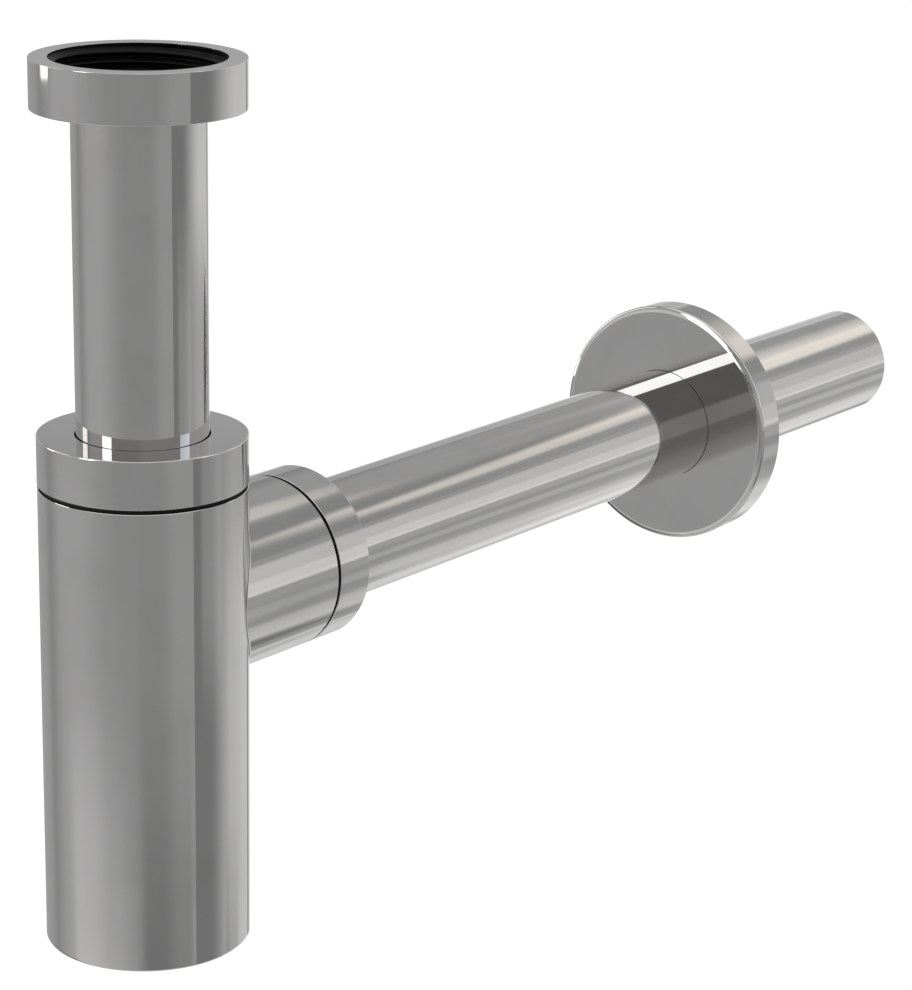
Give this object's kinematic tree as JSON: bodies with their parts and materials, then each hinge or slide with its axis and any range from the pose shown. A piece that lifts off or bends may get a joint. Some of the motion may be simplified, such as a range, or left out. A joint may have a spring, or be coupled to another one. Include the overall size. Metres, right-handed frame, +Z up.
{
  "type": "bottle trap",
  "caption": "Chrome washbasin bottle trap with round inlet nut, sliding dip tube, side outlet, long wall pipe and sliding wall rosette.",
  "frame": {"origin": "on the dip tube's axis, in the plane where the basin waste's tail meets the inlet gasket, which is the inner end of the inlet nut's thread", "axes": "+Z up, out of the inlet nut towards the basin; +X along the wall pipe, away from the bottle and towards the wall"},
  "size_m": [0.3483, 0.07, 0.2195],
  "materials": {
    "chrome_plate": "polished",
    "turned_brass": "satin",
    "black_rubber": "matte",
    "white_polymer": "satin"
  },
  "bodies": {
    "inlet_nut": {"inlet_nut": "chrome_plate"},
    "inlet_ring": {"inlet_thrust_ring": "white_polymer"},
    "inlet_tube": {"dip_tube": "chrome_plate", "inlet_gasket": "black_rubber"},
    "head_seal": {"head_cone_seal": "black_rubber"},
    "bottle": {"bottle_shell": "chrome_plate", "bottle_base": "chrome_plate", "neck_seat": "turned_brass", "head_gasket": "black_rubber", "outlet_branch": "chrome_plate", "branch_seat": "turned_brass", "outlet_gasket": "black_rubber", "outlet_cone_seal": "black_rubber"},
    "head_ring": {"head_slip_ring": "white_polymer"},
    "head_nut": {"head_nut": "chrome_plate"},
    "outlet_ring": {"outlet_slip_ring": "white_polymer"},
    "outlet_nut": {"outlet_nut": "chrome_plate"},
    "wall_pipe": {"outlet_pipe": "chrome_plate"},
    "rosette": {"wall_rosette": "chrome_plate", "rosette_grip_ring": "black_rubber"}
  },
  "joints": [
    {"name": "inlet_nut_turn", "type": "hinge", "parent": "inlet_nut", "child": "inlet_ring", "pos_m": [0, 0, -0.004], "axis": [0, 0, 1], "continuous": true},
    {"name": "inlet_nut_drop", "type": "slide", "parent": "inlet_ring", "child": "inlet_tube", "axis": [0, 0, 1], "range_m": [0, 0.078]},
    {"name": "height_slide", "type": "slide", "parent": "inlet_tube", "child": "head_seal", "axis": [0, 0, -1], "range_m": [-0.016, 0.04]},
    {"name": "bottle_swivel", "type": "hinge", "parent": "head_seal", "child": "bottle", "pos_m": [0, 0, -0.0972], "axis": [0, 0, 1], "continuous": true},
    {"name": "head_nut_lift", "type": "slide", "parent": "bottle", "child": "head_ring", "axis": [0, 0, 1], "range_m": [0, 0.00701]},
    {"name": "head_nut_turn", "type": "hinge", "parent": "head_ring", "child": "head_nut", "pos_m": [0, 0, -0.0972], "axis": [0, 0, 1], "range_deg": [0, 1680]},
    {"name": "outlet_nut_travel", "type": "slide", "parent": "bottle", "child": "outlet_ring", "axis": [1, 0, 0], "range_m": [0, 0.00701]},
    {"name": "outlet_nut_turn", "type": "hinge", "parent": "outlet_ring", "child": "outlet_nut", "pos_m": [0.04645, 0, -0.1281], "axis": [1, 0, 0], "range_deg": [0, 1680]},
    {"name": "pipe_slide", "type": "slide", "parent": "bottle", "child": "wall_pipe", "axis": [1, 0, 0], "range_m": [-0.005, 0.008]},
    {"name": "rosette_slide", "type": "slide", "parent": "wall_pipe", "child": "rosette", "axis": [1, 0, 0], "range_m": [-0.158, 0.091]}
  ],
  "couplings": [
    {"joint": "head_nut_lift", "follows": "head_nut_turn", "m_per_rad": 0.00023873},
    {"joint": "outlet_nut_travel", "follows": "outlet_nut_turn", "m_per_rad": 0.00023873}
  ]
}
